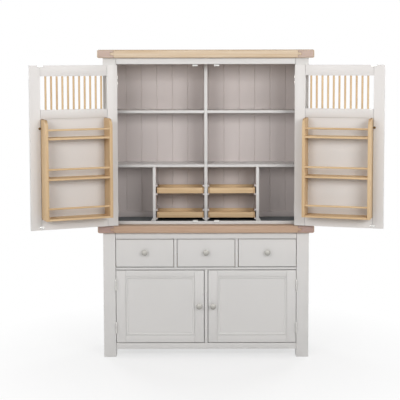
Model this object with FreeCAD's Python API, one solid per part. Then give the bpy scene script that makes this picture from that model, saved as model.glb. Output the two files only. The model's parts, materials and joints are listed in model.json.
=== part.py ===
# Double kitchen hutch: a painted two-door cupboard with shelves, four oak trays and an oak
# spice rack on each door, standing on a base with three drawers and two doors.
# Millimetres. +Z up, +X to the viewer's right, +Y towards the wall. The upper doors are
# modelled open. Everything is drawn from the middle of the case's front face, at floor level,
# and then moved forward, so that the origin lies midway between the open doors' front and
# the wall.
import FreeCAD, Part

import math
import os

V = FreeCAD.Vector
TINY = 1e-3
os.makedirs("parts", exist_ok=True)

# Driving dimensions: whole case
FRONT_TO_ORIGIN = 16.0
CASE_HALF = 633.0
CASE_DEPTH = 345.0
TOP_OVERHANG = 27.0
WORKTOP_HALF = 664.0
BREADBOARD_WIDTH = 100.0
TONGUE_LENGTH = 20.0
TONGUE_THICK = 16.0
EASED_EDGE = 2.0
TOP_ARRIS = 6.0
TOP_CORNER = 10.0
BOARD = 18.0
SIDE_RECESS = 6.0
DOOR_GAP = 2.5
CLOSING_GAP = 3.2
WOODEN_FIT = 0.4

# Base unit
LEG = 76.0
WORKTOP_BOTTOM = 778.0
WORKTOP_TOP = 825.0
APRON_BOTTOM = 49.0
APRON_TOP = 88.0
MID_RAIL_BOTTOM = 546.0
MID_RAIL_TOP = 562.0
BASE_TOP_RAIL_BOTTOM = 738.0
FRONT_SETBACK = 2.0
FRONT_THICK = 20.0
DRAWER_DIVIDER_X = 188.3
DRAWER_DIVIDER_WIDTH = 18.0
MULLION_WIDTH = 20.0
BASE_BACK_THICK = 10.0
BASE_SHELF_TOP = 328.0
BASE_SHELF_FRONT = 80.0

# Base doors
BASE_STILE = 58.0
BASE_DOOR_TOP_RAIL = 40.0
BASE_DOOR_BOTTOM_RAIL = 45.0
MOULDING_WIDTH = 15.0
MOULDING_FLAT = 3.0
MOULDING_STEP = 1.5
PANEL_RECESS = 8.0
PANEL_THICK = 6.0
PANEL_TONGUE = 8.0

# Drawers
DRAWER_BOTTOM_GAP = 4.0
DRAWER_TOP_GAP = 2.5
DRAWER_SIDE_GAP = 3.0
DRAWER_BOX_INSET = 7.0
DRAWER_SIDE_THICK = 12.0
DRAWER_SIDE_HEIGHT = 130.0
DRAWER_LENGTH = 278.0
DRAWER_BOX_BOTTOM = 571.5
DRAWER_BOTTOM_THICK = 6.0
DRAWER_BOTTOM_RISE = 8.0
RUNNER_HEIGHT = 9.0
RUNNER_SETBACK = 1.0
GUIDE_HEIGHT = 20.0
GUIDE_CLEARANCE = 1.5
SHARED_RUNNER_HALF = 30.0

# Hutch
HUTCH_HALF = 626.0
CROWN_HALF = 658.0
HUTCH_POST_WIDTH = 80.5
HUTCH_POST_DEPTH = 45.0
REAR_POST = 45.0
CROWN_BOTTOM = 1848.0
CROWN_TOP = 1899.0
HUTCH_TOP_RAIL_BOTTOM = 1810.0
HUTCH_BOTTOM_RAIL_TOP = 847.0
HUTCH_BOTTOM_RAIL_FRONT = 25.0
INTERIOR_FRONT = 135.0
BACK_FACE = 330.0
BACK_BOARD_THICK = 12.0
BACK_BOARD_PITCH = 98.7
BACK_FIRST_JOINT = 16.3
BACK_JOINT_CHAMFER = 2.5
SLATE_THICK = 4.0
SKIRTING_TOP = 863.0
SKIRTING_THICK = 12.0
CENTRE_DIVIDER = 20.0
SIDE_DIVIDER_INNER = 313.5
SIDE_DIVIDER_OUTER = 332.5
DIVIDER_FOOT_REACH = 14.0
DIVIDER_FOOT_HEIGHT = 22.0
SHELF_TOPS = (1186.0, 1523.5)
SHELF_ARRIS = 1.5

# Oak trays
TRAY_INNER_X = 14.0
TRAY_OUTER_X = 307.0
TRAY_BOTTOMS = (851.0, 1004.0)
TRAY_HEIGHT = 36.0
TRAY_DEPTH = 181.0
TRAY_WALL = 9.0
TRAY_FLOOR_THICK = 5.0
TRAY_FLOOR_RISE = 3.0
TRAY_KICKER_GAP = 7.0
TRAY_RUNNER = 10.0
TRAY_RUNNER_SETBACK = 2.0

# Upper doors
UPPER_DOOR_BOTTOM = 827.5
UPPER_DOOR_TOP = 1807.0
UPPER_DOOR_THICK = 22.0
UPPER_STILE = 65.0
UPPER_TOP_RAIL = 65.0
UPPER_BOTTOM_RAIL = 64.5
SPINDLE_OPENING_BOTTOM = 1544.5
PANEL_OPENING_TOP = 1490.0
SPINDLE_COUNT = 11
SPINDLE_RADIUS = 6.0
LEFT_DOOR_OPEN = 157.0
RIGHT_DOOR_OPEN = 164.0

# Spice racks
RACK_SIDE_GAP = 1.0
RACK_PROJECTION = 105.0
RACK_BOARD = 18.0
RACK_CORNER_RADIUS = 50.0
RACK_SHELF_THICK = 12.0
RACK_SHELF_SETBACK = 2.0
RACK_SHELF_TOPS = (906.0, 1144.5, 1383.0)
RACK_RAIL_HEIGHTS = (965.5, 1197.5, 1429.5)
RACK_RAIL_RADIUS = 6.0
RACK_RAIL_SETBACK = 11.0

# Butt hinges
HINGE_AXIS_Y = -5.3
KNUCKLE_RADIUS = 4.2
PIN_RADIUS = 2.5
PIN_CLEARANCE = 0.06
LEAF_THICK = 1.05
LEAF_START = 0.1
HINGE_HEIGHT = 70.0
KNUCKLE_GAP = 0.4
PIN_LENGTH = 28.0
SOCKET_LENGTH = 29.0
UPPER_HINGE_HEIGHTS = (927.0, 1707.0)
BASE_HINGE_HEIGHTS = (186.0, 451.5)

# Knobs
KNOB_RADIUS = 18.5
KNOB_REACH = 29.0
KNOB_NECK_RADIUS = 7.5
KNOB_RIM = 8.5
UPPER_KNOB_HEIGHT = 1434.0
UPPER_KNOB_FROM_EDGE = 58.0
BASE_KNOB_HEIGHT = 321.0
BASE_KNOB_X = 43.0
DRAWER_KNOB_HEIGHT = 656.0

# Magnetic catches
CATCH_X = 66.0
CATCH_WIDTH = 32.0
CATCH_HEIGHT = 12.0
CATCH_LIFT = 3.0
CATCH_DEPTH = 18.0
CATCH_FRONT = 24.8
STRIKE_THICK = 2.0
STRIKE_SETDOWN = 1.0

# Derived sizes
LEG_INNER = CASE_HALF - LEG
SIDE_OUTER = CASE_HALF - SIDE_RECESS
SIDE_INNER = SIDE_OUTER - BOARD
HUTCH_OPENING = HUTCH_HALF - HUTCH_POST_WIDTH
HUTCH_SIDE_OUTER = HUTCH_HALF - SIDE_RECESS
HUTCH_SIDE_INNER = HUTCH_SIDE_OUTER - BOARD
REAR_POST_INNER = HUTCH_HALF - REAR_POST
FRONT_BACK = FRONT_SETBACK + FRONT_THICK
BASE_BACK_FRONT = CASE_DEPTH - FRONT_SETBACK - BASE_BACK_THICK
FLOOR_TOP = WORKTOP_TOP + SLATE_THICK


def box(x0, x1, y0, y1, z0, z1):
    return Part.makeBox(x1 - x0, y1 - y0, z1 - z0, V(x0, y0, z0))


def rod(radius, start, direction, length):
    return Part.makeCylinder(radius, length, start, direction)


def mirrored(shape):
    return shape.mirror(V(0, 0, 0), V(1, 0, 0))


def both(shapes):
    """The left-hand pieces and their right-hand twins."""
    return shapes + [mirrored(s) for s in shapes]


def write(name, shapes):
    shape = shapes[0] if len(shapes) == 1 else Part.makeCompound(shapes)
    shape.translated(V(0, -FRONT_TO_ORIGIN, 0)).exportStep("parts/" + name + ".step")


def along(edge, axis):
    """Is this a straight edge along the axis?"""
    run = edge.lastVertex().Point - edge.firstVertex().Point
    return abs(abs(run.dot(axis)) - run.Length) < TINY and run.Length > TINY


def eased(shape, axis, size=EASED_EDGE):
    """A board whose edges along one axis are chamfered."""
    return shape.makeChamfer(size, [e for e in shape.Edges if along(e, axis)])


def moulding(x0, x1, z0, z1, y_front, y_back):
    """Four mitred pieces that slope from the rim of an opening down to its panel."""
    w = MOULDING_WIDTH

    def rectangle(inset, y):
        corners = [
            V(x0 + inset, y, z0 + inset),
            V(x1 - inset, y, z0 + inset),
            V(x1 - inset, y, z1 - inset),
            V(x0 + inset, y, z1 - inset),
        ]
        return Part.makePolygon(corners + corners[:1])

    rim = rectangle(MOULDING_FLAT, y_front)
    foot = rectangle(w, y_back)
    ring = box(x0, x1, y_front, y_back, z0, z1).cut(Part.makeLoft([rim, foot], True, True))

    def mitred(a, b, c, d):
        corners = [V(x, y_front - 1, z) for x, z in (a, b, c, d)]
        cutter = Part.Face(Part.makePolygon(corners + corners[:1]))
        return ring.common(cutter.extrude(V(0, y_back - y_front + 2, 0)))

    low = ((x0 + w, z0 + w), (x1 - w, z0 + w))
    high = ((x0 + w, z1 - w), (x1 - w, z1 - w))
    return [
        mitred((x0, z0), (x1, z0), low[1], low[0]),
        mitred((x0, z1), (x1, z1), high[1], high[0]),
        mitred((x0, z0), (x0, z1), high[0], low[0]),
        mitred((x1, z0), (x1, z1), high[1], low[1]),
    ]


def knob(x, y, z):
    """A turned knob that flares from its neck on a face at y, looking towards -Y."""
    profile = [
        V(0, 0, 0),
        V(KNOB_NECK_RADIUS, 0, 0),
        V(KNOB_RADIUS, 0, KNOB_REACH - KNOB_RIM),
        V(KNOB_RADIUS, 0, KNOB_REACH),
        V(0, 0, KNOB_REACH),
    ]
    outline = Part.Face(Part.makePolygon(profile + profile[:1]))
    body = outline.revolve(V(0, 0, 0), V(0, 0, 1), 360)
    body.rotate(V(0, 0, 0), V(1, 0, 0), 90)
    body.translate(V(x, y, z))
    return body


def hinge(post_x, leaf_back, z_middle):
    """A lift-off butt hinge at the left: the post leaf, whose lower knuckle carries the
    pin, and the door leaf, whose upper knuckle drops over it. Both leaves lie in the gap
    between the post's edge at post_x and the door's edge."""
    axis_x = post_x + DOOR_GAP / 2
    door_x = post_x + DOOR_GAP
    bottom = z_middle - HINGE_HEIGHT / 2
    top = z_middle + HINGE_HEIGHT / 2
    lower_top = z_middle - KNUCKLE_GAP / 2
    upper_bottom = z_middle + KNUCKLE_GAP / 2

    def leaf(x0, x1, z0, z1):
        plate = box(x0, x1, LEAF_START, leaf_back, bottom, top)
        neck = box(x0, x1, HINGE_AXIS_Y, LEAF_START, z0, z1)
        knuckle = rod(KNUCKLE_RADIUS, V(axis_x, HINGE_AXIS_Y, z0), V(0, 0, 1), z1 - z0)
        return plate.fuse([neck, knuckle])

    pin = rod(PIN_RADIUS, V(axis_x, HINGE_AXIS_Y, lower_top), V(0, 0, 1), PIN_LENGTH)
    post_leaf = leaf(post_x, post_x + LEAF_THICK, bottom, lower_top).fuse(pin)
    socket = rod(
        PIN_RADIUS + PIN_CLEARANCE,
        V(axis_x, HINGE_AXIS_Y, upper_bottom),
        V(0, 0, 1),
        SOCKET_LENGTH,
    )
    door_leaf = leaf(door_x - LEAF_THICK, door_x, upper_bottom, top).cut(socket)
    return post_leaf.removeSplitter(), door_leaf.removeSplitter()


# Base unit: legs, panels and face frame
def leg(y0):
    return eased(box(-CASE_HALF, -LEG_INNER, y0, y0 + LEG, 0, WORKTOP_BOTTOM), V(0, 0, 1))


legs = both([leg(0), leg(CASE_DEPTH - LEG)])
write("base_legs", legs)

base_side = box(-SIDE_OUTER, -SIDE_INNER, LEG, CASE_DEPTH - LEG, APRON_BOTTOM, WORKTOP_BOTTOM)
hutch_side = box(
    -HUTCH_SIDE_OUTER,
    -HUTCH_SIDE_INNER,
    HUTCH_POST_DEPTH,
    CASE_DEPTH - REAR_POST,
    WORKTOP_TOP,
    CROWN_BOTTOM,
)
write("case_side_panels", both([base_side, hutch_side]))

base_back = box(
    -LEG_INNER,
    LEG_INNER,
    BASE_BACK_FRONT,
    BASE_BACK_FRONT + BASE_BACK_THICK,
    APRON_BOTTOM,
    WORKTOP_BOTTOM,
)
write("base_back_panel", [base_back])


def face_rail(z0, z1):
    return box(-LEG_INNER, LEG_INNER, FRONT_SETBACK, FRONT_BACK, z0, z1)


write(
    "base_face_rails",
    [
        face_rail(APRON_BOTTOM, APRON_TOP),
        face_rail(MID_RAIL_BOTTOM, MID_RAIL_TOP),
        face_rail(BASE_TOP_RAIL_BOTTOM, WORKTOP_BOTTOM),
    ],
)

drawer_divider = box(
    -DRAWER_DIVIDER_X - DRAWER_DIVIDER_WIDTH / 2,
    -DRAWER_DIVIDER_X + DRAWER_DIVIDER_WIDTH / 2,
    FRONT_SETBACK,
    FRONT_BACK + RUNNER_SETBACK,
    MID_RAIL_TOP,
    BASE_TOP_RAIL_BOTTOM,
)
mullion = box(
    -MULLION_WIDTH / 2, MULLION_WIDTH / 2, FRONT_SETBACK, FRONT_BACK, APRON_TOP, MID_RAIL_BOTTOM
)
base_partition = box(
    -BOARD / 2, BOARD / 2, FRONT_BACK, BASE_BACK_FRONT, APRON_TOP, MID_RAIL_BOTTOM
)
write("base_uprights", both([drawer_divider]) + [mullion, base_partition])


def clear_of(shape, neighbours):
    for other in neighbours:
        shape = shape.cut(other)
    return shape


base_floor = box(
    -SIDE_INNER, SIDE_INNER, FRONT_BACK, BASE_BACK_FRONT, APRON_TOP - BOARD, APRON_TOP
)
write("base_floor_board", [clear_of(base_floor, legs)])

base_shelf = box(
    -SIDE_INNER,
    -BOARD / 2,
    BASE_SHELF_FRONT,
    BASE_BACK_FRONT,
    BASE_SHELF_TOP - BOARD,
    BASE_SHELF_TOP,
)
write("base_shelves", both([clear_of(base_shelf, legs)]))


# Drawer runners: two at the sides, and one shared at each divider, each with a guide
RUNNER_TOP = DRAWER_BOX_BOTTOM - WOODEN_FIT
DRAWER_OPENINGS = (
    (-LEG_INNER, -DRAWER_DIVIDER_X - DRAWER_DIVIDER_WIDTH / 2),
    (-DRAWER_DIVIDER_X + DRAWER_DIVIDER_WIDTH / 2, DRAWER_DIVIDER_X - DRAWER_DIVIDER_WIDTH / 2),
    (DRAWER_DIVIDER_X + DRAWER_DIVIDER_WIDTH / 2, LEG_INNER),
)


def drawer_box_sides(opening):
    """The outer faces of the drawer box that runs in an opening."""
    inset = DRAWER_SIDE_GAP + DRAWER_BOX_INSET
    return opening[0] + inset, opening[1] - inset


def runner_pair(x0, x1, guide_x0, guide_x1):
    y0 = FRONT_BACK + RUNNER_SETBACK
    runner = box(x0, x1, y0, BASE_BACK_FRONT, RUNNER_TOP - RUNNER_HEIGHT, RUNNER_TOP)
    guide = box(guide_x0, guide_x1, y0, BASE_BACK_FRONT, RUNNER_TOP, RUNNER_TOP + GUIDE_HEIGHT)
    return [clear_of(runner, legs), clear_of(guide, legs)]


left_drawer_x = drawer_box_sides(DRAWER_OPENINGS[0])
middle_drawer_x = drawer_box_sides(DRAWER_OPENINGS[1])
side_runner = runner_pair(
    -SIDE_INNER,
    left_drawer_x[0] + DRAWER_SIDE_THICK,
    -SIDE_INNER,
    left_drawer_x[0] - GUIDE_CLEARANCE,
)
shared_runner = runner_pair(
    -DRAWER_DIVIDER_X - SHARED_RUNNER_HALF,
    -DRAWER_DIVIDER_X + SHARED_RUNNER_HALF,
    left_drawer_x[1] + GUIDE_CLEARANCE,
    middle_drawer_x[0] - GUIDE_CLEARANCE,
)
write("drawer_runners", both(side_runner + shared_runner))


# Worktop and hutch top: a long board between two breadboard ends, with a tongue along each
# end of the long board that shows in the front edge
def oak_slab(half, z0, z1):
    joint = half - BREADBOARD_WIDTH
    middle = (z0 + z1) / 2
    tongue = box(
        -joint - TONGUE_LENGTH,
        joint + TONGUE_LENGTH,
        -TOP_OVERHANG,
        CASE_DEPTH,
        middle - TONGUE_THICK / 2,
        middle + TONGUE_THICK / 2,
    )
    long_board = box(-joint, joint, -TOP_OVERHANG, CASE_DEPTH, z0, z1)
    long_board = eased(long_board, V(1, 0, 0), TOP_ARRIS).fuse(tongue).removeSplitter()
    end = box(-half, -joint, -TOP_OVERHANG, CASE_DEPTH, z0, z1)
    corners = [e for e in end.Edges if along(e, V(0, 0, 1)) and e.BoundBox.XMax < -joint]
    end = end.makeChamfer(TOP_CORNER, corners)
    rims = [
        e
        for e in end.Edges
        if e.BoundBox.ZLength < TINY and e.BoundBox.XMin < -joint - TINY
    ]
    end = end.makeChamfer(TOP_ARRIS, rims).cut(tongue)
    return long_board, [end, mirrored(end)]


worktop_board, worktop_ends = oak_slab(WORKTOP_HALF, WORKTOP_BOTTOM, WORKTOP_TOP)
write("worktop_board", [worktop_board])

top_board, top_ends = oak_slab(CROWN_HALF, CROWN_BOTTOM, CROWN_TOP)
write("hutch_top_board", [top_board])
write("breadboard_ends", worktop_ends + top_ends)


# Hutch: posts, sides and face rails
front_post = box(
    -HUTCH_HALF, -HUTCH_OPENING, 0, HUTCH_POST_DEPTH, WORKTOP_TOP, CROWN_BOTTOM
)
rear_post = box(
    -HUTCH_HALF,
    -REAR_POST_INNER,
    CASE_DEPTH - REAR_POST,
    CASE_DEPTH,
    WORKTOP_TOP,
    CROWN_BOTTOM,
)
posts = both([eased(front_post, V(0, 0, 1)), eased(rear_post, V(0, 0, 1))])
write("hutch_posts", posts)


# Magnetic catches behind the meeting edges: one pair under the top rail, and one pair let
# into the bottom rail, low enough for the lower trays to slide over
CATCH_HEIGHTS = (
    HUTCH_BOTTOM_RAIL_TOP + CATCH_LIFT - CATCH_HEIGHT,
    HUTCH_TOP_RAIL_BOTTOM - CATCH_HEIGHT,
)


def catch(z0):
    return box(
        -CATCH_X - CATCH_WIDTH / 2,
        -CATCH_X + CATCH_WIDTH / 2,
        CATCH_FRONT,
        CATCH_FRONT + CATCH_DEPTH,
        z0,
        z0 + CATCH_HEIGHT,
    )


catches = both([catch(z) for z in CATCH_HEIGHTS])
write("magnetic_catches", catches)

hutch_top_rail = box(
    -HUTCH_OPENING, HUTCH_OPENING, 0, HUTCH_POST_DEPTH, HUTCH_TOP_RAIL_BOTTOM, CROWN_BOTTOM
)
hutch_bottom_rail = box(
    -HUTCH_OPENING,
    HUTCH_OPENING,
    HUTCH_BOTTOM_RAIL_FRONT,
    HUTCH_POST_DEPTH,
    WORKTOP_TOP,
    HUTCH_BOTTOM_RAIL_TOP,
)
write("hutch_face_rails", [hutch_top_rail, clear_of(hutch_bottom_rail, catches)])


# Tongue-and-groove back: upright boards with a V at each joint
def back_board(x0, x1):
    board = box(
        x0, x1, BACK_FACE, BACK_FACE + BACK_BOARD_THICK, WORKTOP_TOP, CROWN_BOTTOM
    )
    arrises = [
        e for e in board.Edges if along(e, V(0, 0, 1)) and e.BoundBox.YMax < BACK_FACE + TINY
    ]
    return board.makeChamfer(BACK_JOINT_CHAMFER, arrises)


back_joints = [0.0]
joint_x = BACK_FIRST_JOINT
while joint_x < REAR_POST_INNER:
    back_joints.append(joint_x)
    joint_x += BACK_BOARD_PITCH
back_joints.append(REAR_POST_INNER)
left_back = [back_board(-b, -a) for a, b in zip(back_joints, back_joints[1:])]
write("hutch_back_boards", both(left_back))

skirting = box(
    -REAR_POST_INNER,
    -SIDE_DIVIDER_OUTER,
    BACK_FACE - SKIRTING_THICK,
    BACK_FACE,
    FLOOR_TOP,
    SKIRTING_TOP,
)
skirting_middle = box(
    -SIDE_DIVIDER_INNER,
    -CENTRE_DIVIDER / 2,
    BACK_FACE - SKIRTING_THICK,
    BACK_FACE,
    FLOOR_TOP,
    SKIRTING_TOP,
)
write("hutch_back_skirting", both([skirting, skirting_middle]))

slate = box(-HUTCH_SIDE_INNER, 0, HUTCH_POST_DEPTH, BACK_FACE, WORKTOP_TOP, FLOOR_TOP)
write("slate_floor", both([clear_of(slate, posts)]))

centre_divider = box(
    -CENTRE_DIVIDER / 2,
    CENTRE_DIVIDER / 2,
    INTERIOR_FRONT,
    BACK_FACE,
    FLOOR_TOP,
    CROWN_BOTTOM,
)

side_divider = box(
    -SIDE_DIVIDER_OUTER,
    -SIDE_DIVIDER_INNER,
    INTERIOR_FRONT,
    BACK_FACE,
    FLOOR_TOP,
    SHELF_TOPS[0] - BOARD,
)

# The foot block in the corner between each side divider and the floor
foot_outline = [
    V(-SIDE_DIVIDER_OUTER, INTERIOR_FRONT, FLOOR_TOP),
    V(-SIDE_DIVIDER_OUTER - DIVIDER_FOOT_REACH, INTERIOR_FRONT, FLOOR_TOP),
    V(-SIDE_DIVIDER_OUTER, INTERIOR_FRONT, FLOOR_TOP + DIVIDER_FOOT_HEIGHT),
]
foot = Part.Face(Part.makePolygon(foot_outline + foot_outline[:1]))
foot = foot.extrude(V(0, DIVIDER_FOOT_HEIGHT, 0))
write("hutch_dividers", [centre_divider] + both([side_divider, foot]))


def hutch_shelf(top):
    shelf = box(
        -HUTCH_SIDE_INNER, -CENTRE_DIVIDER / 2, INTERIOR_FRONT, BACK_FACE, top - BOARD, top
    )
    front = [
        e
        for e in shelf.Edges
        if along(e, V(1, 0, 0)) and e.BoundBox.YMax < INTERIOR_FRONT + TINY
    ]
    return clear_of(shelf.makeChamfer(SHELF_ARRIS, front), posts)


write("hutch_shelves", both([hutch_shelf(top) for top in SHELF_TOPS]))


# Tray runners below each tray's sides, and kickers that keep it level when it is out
def tray_strip(x0, z0):
    y0 = INTERIOR_FRONT + TRAY_RUNNER_SETBACK
    return box(x0, x0 + TRAY_RUNNER, y0, BACK_FACE - SKIRTING_THICK, z0, z0 + TRAY_RUNNER)


tray_strips = []
for tray_z in TRAY_BOTTOMS:
    runner_z = tray_z - WOODEN_FIT - TRAY_RUNNER
    kicker_z = tray_z + TRAY_HEIGHT + TRAY_KICKER_GAP
    for strip_x in (-SIDE_DIVIDER_INNER, -CENTRE_DIVIDER / 2 - TRAY_RUNNER):
        tray_strips.append(tray_strip(strip_x, runner_z))
        tray_strips.append(tray_strip(strip_x, kicker_z))
write("tray_runners", both(tray_strips))


# Hinges
upper_hinges = [
    hinge(-HUTCH_OPENING, UPPER_DOOR_THICK, z) for z in UPPER_HINGE_HEIGHTS
]
base_hinges = [hinge(-LEG_INNER, FRONT_BACK, z) for z in BASE_HINGE_HEIGHTS]
write("hinge_post_leaves", both([h[0] for h in upper_hinges + base_hinges]))


def framed_panel(x0, x1, z0, z1, y_front):
    """A flat panel whose edges run into grooves round an opening, and its moulding."""
    panel_front = y_front + PANEL_RECESS
    panel = box(
        x0 - PANEL_TONGUE,
        x1 + PANEL_TONGUE,
        panel_front,
        panel_front + PANEL_THICK,
        z0 - PANEL_TONGUE,
        z1 + PANEL_TONGUE,
    )
    return panel, moulding(x0, x1, z0, z1, y_front + MOULDING_STEP, panel_front)


# Upper doors, modelled closed on the left and then swung open
def rack_side(x0, y0, y1, z0, z1):
    """A rack end with its top front corner rounded."""
    r = RACK_CORNER_RADIUS
    diagonal = r * math.sqrt(0.5)
    start = V(x0, y1, z1 - r)
    middle = V(x0, y1 - r + diagonal, z1 - r + diagonal)
    end = V(x0, y1 - r, z1)
    outline = Part.Wire(
        [
            Part.makeLine(V(x0, y0, z0), V(x0, y1, z0)),
            Part.makeLine(V(x0, y1, z0), start),
            Part.Arc(start, middle, end).toShape(),
            Part.makeLine(end, V(x0, y0, z1)),
            Part.makeLine(V(x0, y0, z1), V(x0, y0, z0)),
        ]
    )
    return Part.Face(outline).extrude(V(RACK_BOARD, 0, 0))


def upper_door():
    """The left upper door, closed: a dict of its pieces by name."""
    hinge_edge = -HUTCH_OPENING + DOOR_GAP
    free_edge = -DOOR_GAP / 2
    inner0 = hinge_edge + UPPER_STILE
    inner1 = free_edge - UPPER_STILE
    panel_z0 = UPPER_DOOR_BOTTOM + UPPER_BOTTOM_RAIL
    spindle_top = UPPER_DOOR_TOP - UPPER_TOP_RAIL
    back = UPPER_DOOR_THICK
    panel, ring = framed_panel(inner0, inner1, panel_z0, PANEL_OPENING_TOP, 0)

    knob_x = free_edge - UPPER_KNOB_FROM_EDGE
    fittings = [knob(knob_x, 0, UPPER_KNOB_HEIGHT)] + [h[1] for h in upper_hinges]

    stile_a = box(hinge_edge, inner0, 0, back, UPPER_DOOR_BOTTOM, UPPER_DOOR_TOP)
    stile_b = box(inner1, free_edge, 0, back, UPPER_DOOR_BOTTOM, UPPER_DOOR_TOP)
    rails = [
        box(inner0, inner1, 0, back, UPPER_DOOR_BOTTOM, panel_z0),
        box(inner0, inner1, 0, back, PANEL_OPENING_TOP, SPINDLE_OPENING_BOTTOM),
        box(inner0, inner1, 0, back, spindle_top, UPPER_DOOR_TOP),
    ]
    frame = [clear_of(s, [panel]) for s in [stile_a, stile_b] + rails]

    pitch = (inner1 - inner0) / (SPINDLE_COUNT + 1)
    spindle_start = [
        V(inner0 + pitch * (i + 1), back / 2, SPINDLE_OPENING_BOTTOM)
        for i in range(SPINDLE_COUNT)
    ]
    spindle_length = spindle_top - SPINDLE_OPENING_BOTTOM
    spindles = [rod(SPINDLE_RADIUS, p, V(0, 0, 1), spindle_length) for p in spindle_start]

    rack_back = PANEL_RECESS + PANEL_THICK
    rack_front = back + RACK_PROJECTION
    rack_x0 = inner0 + RACK_SIDE_GAP
    rack_x1 = inner1 - RACK_SIDE_GAP
    rack_z0 = RACK_SHELF_TOPS[0] - RACK_SHELF_THICK
    rack_z1 = PANEL_OPENING_TOP - RACK_SIDE_GAP
    sides = [
        rack_side(x, rack_back, rack_front, rack_z0, rack_z1)
        for x in (rack_x0, rack_x1 - RACK_BOARD)
    ]
    shelf_x0 = rack_x0 + RACK_BOARD
    shelf_x1 = rack_x1 - RACK_BOARD
    shelf_front = rack_front - RACK_SHELF_SETBACK
    shelves = [
        box(shelf_x0, shelf_x1, rack_back, shelf_front, top - RACK_SHELF_THICK, top)
        for top in RACK_SHELF_TOPS
    ]
    rack_rails = [
        rod(
            RACK_RAIL_RADIUS,
            V(shelf_x0, rack_front - RACK_RAIL_SETBACK, z),
            V(1, 0, 0),
            shelf_x1 - shelf_x0,
        )
        for z in RACK_RAIL_HEIGHTS
    ]

    strike_heights = (CATCH_HEIGHTS[0], UPPER_DOOR_TOP - CATCH_HEIGHT - STRIKE_SETDOWN)
    strikes = [
        box(
            -CATCH_X - CATCH_WIDTH / 2,
            -CATCH_X + CATCH_WIDTH / 2,
            back,
            back + STRIKE_THICK,
            z,
            z + CATCH_HEIGHT,
        )
        for z in strike_heights
    ]
    return {
        "frame": frame,
        "moulding": ring,
        "panel": [panel],
        "spindles": spindles,
        "rack_sides": sides,
        "rack_shelves": shelves,
        "rack_rails": rack_rails,
        "fittings": fittings + strikes,
    }


UPPER_AXIS = V(-HUTCH_OPENING + DOOR_GAP / 2, HINGE_AXIS_Y, 0)
for piece, solids in upper_door().items():
    left = []
    right = []
    for solid in solids:
        swung = solid.copy()
        swung.rotate(UPPER_AXIS, V(0, 0, 1), -LEFT_DOOR_OPEN)
        left.append(swung)
        other = solid.copy()
        other.rotate(UPPER_AXIS, V(0, 0, 1), -RIGHT_DOOR_OPEN)
        right.append(mirrored(other))
    write("left_upper_door_" + piece, left)
    write("right_upper_door_" + piece, right)


# Base doors
def base_door():
    """The left base door, closed: a dict of its pieces by name."""
    hinge_edge = -LEG_INNER + DOOR_GAP
    free_edge = -MULLION_WIDTH / 2 - CLOSING_GAP
    bottom = APRON_TOP + CLOSING_GAP
    top = MID_RAIL_BOTTOM - CLOSING_GAP
    inner0 = hinge_edge + BASE_STILE
    inner1 = free_edge - BASE_STILE
    panel_z0 = bottom + BASE_DOOR_BOTTOM_RAIL
    panel_z1 = top - BASE_DOOR_TOP_RAIL
    front = FRONT_SETBACK
    back = FRONT_BACK
    panel, ring = framed_panel(inner0, inner1, panel_z0, panel_z1, front)
    stile_a = box(hinge_edge, inner0, front, back, bottom, top)
    stile_b = box(inner1, free_edge, front, back, bottom, top)
    rail_a = box(inner0, inner1, front, back, bottom, panel_z0)
    rail_b = box(inner0, inner1, front, back, panel_z1, top)
    frame = [clear_of(s, [panel]) for s in (stile_a, stile_b, rail_a, rail_b)]
    pull = knob(-BASE_KNOB_X, front, BASE_KNOB_HEIGHT)
    return {
        "frame": frame,
        "moulding": ring,
        "panel": [panel],
        "fittings": [pull] + [h[1] for h in base_hinges],
    }


for piece, solids in base_door().items():
    write("left_base_door_" + piece, solids)
    write("right_base_door_" + piece, [mirrored(s) for s in solids])


# Drawers
def drawer(opening):
    """A drawer shut in its opening: its front with the knob on it, and its box."""
    x0 = opening[0] + DRAWER_SIDE_GAP
    x1 = opening[1] - DRAWER_SIDE_GAP
    z0 = MID_RAIL_TOP + DRAWER_BOTTOM_GAP
    z1 = BASE_TOP_RAIL_BOTTOM - DRAWER_TOP_GAP
    front = box(x0, x1, FRONT_SETBACK, FRONT_BACK, z0, z1)
    pull = knob((x0 + x1) / 2, FRONT_SETBACK, DRAWER_KNOB_HEIGHT)

    box_x0, box_x1 = drawer_box_sides(opening)
    wall = DRAWER_SIDE_THICK
    bottom = DRAWER_BOX_BOTTOM
    top = bottom + DRAWER_SIDE_HEIGHT
    back = FRONT_BACK + DRAWER_LENGTH
    floor_z = bottom + DRAWER_BOTTOM_RISE
    floor = box(
        box_x0 + wall / 2,
        box_x1 - wall / 2,
        FRONT_BACK,
        back - wall / 2,
        floor_z,
        floor_z + DRAWER_BOTTOM_THICK,
    )
    walls = [
        box(box_x0, box_x0 + wall, FRONT_BACK, back, bottom, top),
        box(box_x1 - wall, box_x1, FRONT_BACK, back, bottom, top),
        box(box_x0 + wall, box_x1 - wall, back - wall, back, bottom, top),
    ]
    return [front, pull], [clear_of(w, [floor]) for w in walls] + [floor]


for side, opening in zip(("left", "middle", "right"), DRAWER_OPENINGS):
    front, carcase = drawer(opening)
    write(side + "_drawer_front", front)
    write(side + "_drawer_box", carcase)


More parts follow.
